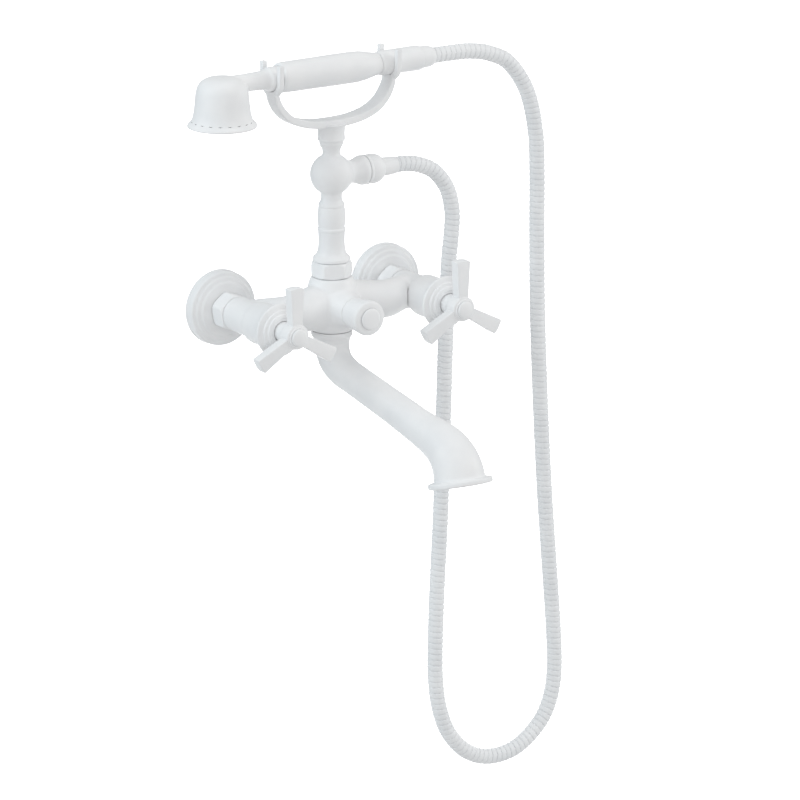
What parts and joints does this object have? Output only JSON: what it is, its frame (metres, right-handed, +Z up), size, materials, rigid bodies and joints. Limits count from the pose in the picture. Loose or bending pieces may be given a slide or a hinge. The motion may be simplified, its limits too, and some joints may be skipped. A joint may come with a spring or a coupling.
{
  "type": "bath shower mixer",
  "caption": "Wall mounted bath and shower mixer with lever valves, a curved spout, a diverter and a telephone handset hung on a cradle by a long hose.",
  "frame": {"origin": "midway between the two wall inlets, on the face of the wall", "axes": "+X to the right along the wall as seen from in front, +Y into the wall, +Z up"},
  "size_m": [0.4066, 0.2883, 0.7053],
  "materials": {
    "white": "satin white paint",
    "hose": "satin white, spiral wound",
    "brass": "turned",
    "steel": "plain",
    "ceramic": "lapped ceramic",
    "rubber": "matte",
    "plastic": "satin"
  },
  "bodies": {
    "faucet": {"left_wall_flange": "white", "left_flange_seal": "rubber", "left_wall_tailpiece": "brass", "left_union_washer": "rubber", "left_union_nut": "white", "left_seat_seal": "rubber", "left_fixed_ceramic_disc": "ceramic", "left_cartridge_housing": "brass", "left_bonnet": "white", "right_wall_flange": "white", "right_flange_seal": "rubber", "right_wall_tailpiece": "brass", "right_union_washer": "rubber", "right_union_nut": "white", "right_seat_seal": "rubber", "right_fixed_ceramic_disc": "ceramic", "right_cartridge_housing": "brass", "right_bonnet": "white", "main_body": "white", "diverter_spring": "steel", "diverter_guide": "brass", "spout_retaining_screw": "steel", "riser_nut": "white", "riser_washer": "rubber", "riser_column": "white", "outlet_check_valve": "plastic", "column_hose_nut": "white", "column_hose_washer": "rubber", "column_hose_ferrule": "white", "cradle": "white", "cradle_set_screw": "steel", "shower_hose": "hose"},
    "left_handle": {"left_lever_handle": "white", "left_valve_spindle": "brass", "left_moving_ceramic_disc": "ceramic", "left_handle_screw": "steel", "left_index_button": "white"},
    "right_handle": {"right_lever_handle": "white", "right_valve_spindle": "brass", "right_moving_ceramic_disc": "ceramic", "right_handle_screw": "steel", "right_index_button": "white"},
    "diverter": {"diverter_knob": "white", "diverter_piston_rod": "brass", "diverter_piston_seal": "rubber", "diverter_knob_screw": "steel", "diverter_knob_button": "white"},
    "swivel_spout": {"spout": "white", "spout_o_ring": "rubber", "spout_flow_straightener": "plastic"},
    "handset": {"handset_head": "white", "spray_plate": "plastic", "spray_gasket": "rubber", "spray_plate_screw": "steel", "handset_water_tube": "brass", "handset_grip": "white", "handset_tail": "white", "handset_hose_washer": "rubber", "handset_hose_insert": "brass", "handset_hose_nut": "white"}
  },
  "joints": [
    {"name": "left_valve_turn", "type": "hinge", "parent": "faucet", "child": "left_handle", "pos_m": [-0.09, -0.129, 0], "axis": [0, -1, 0], "range_deg": [0, 90]},
    {"name": "right_valve_turn", "type": "hinge", "parent": "faucet", "child": "right_handle", "pos_m": [0.09, -0.129, 0], "axis": [0, 1, 0], "range_deg": [0, 90]},
    {"name": "diverter_pull", "type": "slide", "parent": "faucet", "child": "diverter", "axis": [0, -1, 0], "range_m": [0, 0.007], "stiffness_N_per_m": 400, "springref_m": -0.004, "deforming": ["diverter_spring"]},
    {"name": "spout_swivel", "type": "hinge", "parent": "faucet", "child": "swivel_spout", "pos_m": [0, -0.052, -0.027], "axis": [0, 0, 1], "range_deg": [-45, 45]},
    {"name": "handset_lift", "type": "slide", "parent": "faucet", "child": "handset", "axis": [0, 0, 1], "range_m": [0, 0.03]}
  ]
}
